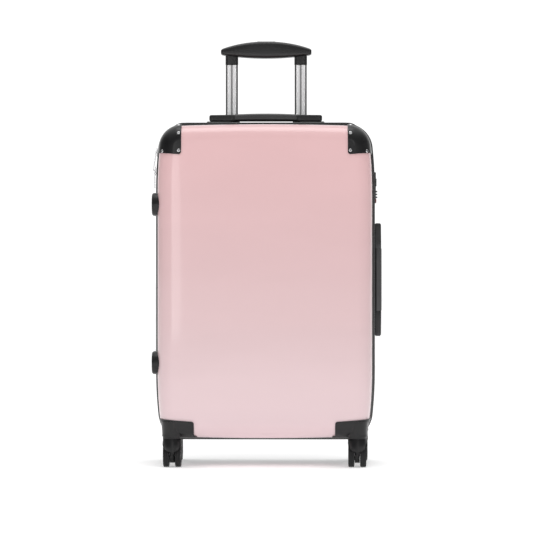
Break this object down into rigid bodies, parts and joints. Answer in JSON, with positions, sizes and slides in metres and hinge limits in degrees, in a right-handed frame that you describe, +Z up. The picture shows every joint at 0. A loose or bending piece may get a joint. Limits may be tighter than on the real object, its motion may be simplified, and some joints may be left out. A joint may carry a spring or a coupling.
{
  "type": "hard shell suitcase",
  "caption": "Upright hard shell suitcase: hinged halves, telescopic handle, pull-out carry handles, combination lock and double-wheel casters.",
  "frame": {"origin": "on the floor under the middle of the case, midway between the casters", "axes": "+Z up, -Y towards the front face, +X towards the lock and the side carry handle"},
  "size_m": [0.439, 0.267, 0.815],
  "materials": {
    "shell": "glossy printed shell",
    "shell_black": "glossy shell",
    "lining": "woven polyester",
    "zip": "woven tape and nylon coil",
    "guard": "semi gloss",
    "rivet": "polished",
    "black_plastic": "fine texture",
    "webbing": "woven webbing",
    "tube": "satin anodised",
    "grip": "satin",
    "soft_grip": "soft touch",
    "steel": "plated",
    "dial": "satin",
    "red_plastic": "gloss",
    "zinc": "polished zinc",
    "tyre": "smooth tread"
  },
  "bodies": {
    "back_case": {"back_shell": "shell_black", "back_lining": "lining", "zip_tape_back": "zip", "corner_guards_back": "guard", "rivets_back": "rivet", "wheel_housings_back": "black_plastic", "side_feet_back": "black_plastic", "packing_straps": "webbing", "strap_buckle": "black_plastic", "hinge_fabric": "lining", "trolley_outer_tubes": "tube", "trolley_bezel": "black_plastic", "trolley_foot_bracket": "black_plastic", "top_handle_bases": "black_plastic", "side_handle_bases": "black_plastic", "lock_body": "black_plastic", "lock_dial_pin": "steel"},
    "front_case": {"front_shell": "shell", "front_lining": "lining", "zip_tape_front": "zip", "corner_guards_front": "guard", "rivets_front": "rivet", "wheel_housings_front": "black_plastic", "side_feet_front": "black_plastic"},
    "trolley_middle": {"trolley_middle_tubes": "tube", "trolley_collars": "black_plastic"},
    "trolley_top": {"trolley_inner_tubes": "tube", "trolley_grip": "grip", "button_spring": "steel"},
    "trolley_button": {"trolley_button": "grip", "trolley_pull_rods": "steel"},
    "top_handle": {"top_handle_grip": "soft_grip", "top_handle_posts": "steel"},
    "side_handle": {"side_handle_grip": "soft_grip", "side_handle_posts": "steel"},
    "lock_release": {"lock_release": "black_plastic"},
    "lock_cylinder": {"lock_cylinder": "red_plastic"},
    "zip_slider_upper": {"zip_slider_upper": "zinc"},
    "zip_slider_lower": {"zip_slider_lower": "zinc"},
    "zip_pull_upper": {"zip_pull_upper": "zinc"},
    "zip_pull_lower": {"zip_pull_lower": "zinc"},
    "lock_dial_1": {"lock_dial_1": "dial"},
    "lock_dial_2": {"lock_dial_2": "dial"},
    "lock_dial_3": {"lock_dial_3": "dial"},
    "caster_front_left": {"fork_front_left": "black_plastic", "pins_front_left": "steel"},
    "wheel_front_left_a": {"wheel_front_left_a": "tyre"},
    "wheel_front_left_b": {"wheel_front_left_b": "tyre"},
    "caster_front_right": {"fork_front_right": "black_plastic", "pins_front_right": "steel"},
    "wheel_front_right_a": {"wheel_front_right_a": "tyre"},
    "wheel_front_right_b": {"wheel_front_right_b": "tyre"},
    "caster_back_left": {"fork_back_left": "black_plastic", "pins_back_left": "steel"},
    "wheel_back_left_a": {"wheel_back_left_a": "tyre"},
    "wheel_back_left_b": {"wheel_back_left_b": "tyre"},
    "caster_back_right": {"fork_back_right": "black_plastic", "pins_back_right": "steel"},
    "wheel_back_right_a": {"wheel_back_right_a": "tyre"},
    "wheel_back_right_b": {"wheel_back_right_b": "tyre"}
  },
  "joints": [
    {"name": "case_hinge", "type": "hinge", "parent": "back_case", "child": "front_case", "pos_m": [-0.216, 0, 0.35], "axis": [0, 0, -1], "range_deg": [0, 175], "deforming": ["hinge_fabric"]},
    {"name": "trolley_lower_slide", "type": "slide", "parent": "back_case", "child": "trolley_middle", "axis": [0, 0, 1], "range_m": [0, 0.175]},
    {"name": "trolley_upper_slide", "type": "slide", "parent": "trolley_middle", "child": "trolley_top", "axis": [0, 0, 1], "range_m": [-0.107, 0.065]},
    {"name": "trolley_button_press", "type": "slide", "parent": "trolley_top", "child": "trolley_button", "axis": [0, 0, -1], "range_m": [0, 0.004], "stiffness_N_per_m": 400, "springref_m": -0.004, "deforming": ["button_spring"]},
    {"name": "top_handle_pull", "type": "slide", "parent": "back_case", "child": "top_handle", "axis": [0, 0, 1], "range_m": [0, 0.012], "stiffness_N_per_m": 150, "springref_m": -0.004},
    {"name": "side_handle_pull", "type": "slide", "parent": "back_case", "child": "side_handle", "axis": [1, 0, 0], "range_m": [0, 0.012], "stiffness_N_per_m": 150, "springref_m": -0.004},
    {"name": "lock_release_slide", "type": "slide", "parent": "back_case", "child": "lock_release", "axis": [0, 0, 1], "range_m": [0, 0.005], "stiffness_N_per_m": 200, "springref_m": -0.003},
    {"name": "lock_cylinder_turn", "type": "hinge", "parent": "back_case", "child": "lock_cylinder", "pos_m": [0.2101, 0.03, 0.5034], "axis": [1, 0, 0], "range_deg": [0, 90]},
    {"name": "zip_upper_slide", "type": "slide", "parent": "back_case", "child": "zip_slider_upper", "axis": [0.0993, 0, 0.9951], "range_m": [0, 0.014]},
    {"name": "zip_lower_slide", "type": "slide", "parent": "back_case", "child": "zip_slider_lower", "axis": [0.0182, 0, 0.9998], "range_m": [-0.055, 0]},
    {"name": "zip_upper_pull", "type": "hinge", "parent": "zip_slider_upper", "child": "zip_pull_upper", "pos_m": [-0.2095, 0, 0.596], "axis": [0, 1, 0], "range_deg": [0, 150]},
    {"name": "zip_lower_pull", "type": "hinge", "parent": "zip_slider_lower", "child": "zip_pull_lower", "pos_m": [-0.2121, 0, 0.56], "axis": [0, 1, 0], "range_deg": [0, 12]},
    {"name": "lock_dial_1_turn", "type": "hinge", "parent": "back_case", "child": "lock_dial_1", "pos_m": [0.2056, 0.03, 0.5102], "axis": [0, 0, 1], "continuous": true},
    {"name": "lock_dial_2_turn", "type": "hinge", "parent": "back_case", "child": "lock_dial_2", "pos_m": [0.2056, 0.03, 0.5156], "axis": [0, 0, 1], "continuous": true},
    {"name": "lock_dial_3_turn", "type": "hinge", "parent": "back_case", "child": "lock_dial_3", "pos_m": [0.2056, 0.03, 0.521], "axis": [0, 0, 1], "continuous": true},
    {"name": "caster_front_left_swivel", "type": "hinge", "parent": "front_case", "child": "caster_front_left", "pos_m": [-0.174, -0.108, 0.0545], "axis": [0, 0, 1], "continuous": true},
    {"name": "wheel_front_left_a_spin", "type": "hinge", "parent": "caster_front_left", "child": "wheel_front_left_a", "pos_m": [-0.1852, -0.092, 0.025], "axis": [1, 0, 0], "continuous": true},
    {"name": "wheel_front_left_b_spin", "type": "hinge", "parent": "caster_front_left", "child": "wheel_front_left_b", "pos_m": [-0.1628, -0.092, 0.025], "axis": [1, 0, 0], "continuous": true},
    {"name": "caster_front_right_swivel", "type": "hinge", "parent": "front_case", "child": "caster_front_right", "pos_m": [0.174, -0.108, 0.0545], "axis": [0, 0, 1], "continuous": true},
    {"name": "wheel_front_right_a_spin", "type": "hinge", "parent": "caster_front_right", "child": "wheel_front_right_a", "pos_m": [0.1628, -0.092, 0.025], "axis": [1, 0, 0], "continuous": true},
    {"name": "wheel_front_right_b_spin", "type": "hinge", "parent": "caster_front_right", "child": "wheel_front_right_b", "pos_m": [0.1852, -0.092, 0.025], "axis": [1, 0, 0], "continuous": true},
    {"name": "caster_back_left_swivel", "type": "hinge", "parent": "back_case", "child": "caster_back_left", "pos_m": [-0.18, 0.088, 0.0545], "axis": [0, 0, 1], "continuous": true},
    {"name": "wheel_back_left_a_spin", "type": "hinge", "parent": "caster_back_left", "child": "wheel_back_left_a", "pos_m": [-0.1912, 0.104, 0.025], "axis": [1, 0, 0], "continuous": true},
    {"name": "wheel_back_left_b_spin", "type": "hinge", "parent": "caster_back_left", "child": "wheel_back_left_b", "pos_m": [-0.1688, 0.104, 0.025], "axis": [1, 0, 0], "continuous": true},
    {"name": "caster_back_right_swivel", "type": "hinge", "parent": "back_case", "child": "caster_back_right", "pos_m": [0.18, 0.088, 0.0545], "axis": [0, 0, 1], "continuous": true},
    {"name": "wheel_back_right_a_spin", "type": "hinge", "parent": "caster_back_right", "child": "wheel_back_right_a", "pos_m": [0.1688, 0.104, 0.025], "axis": [1, 0, 0], "continuous": true},
    {"name": "wheel_back_right_b_spin", "type": "hinge", "parent": "caster_back_right", "child": "wheel_back_right_b", "pos_m": [0.1912, 0.104, 0.025], "axis": [1, 0, 0], "continuous": true}
  ]
}
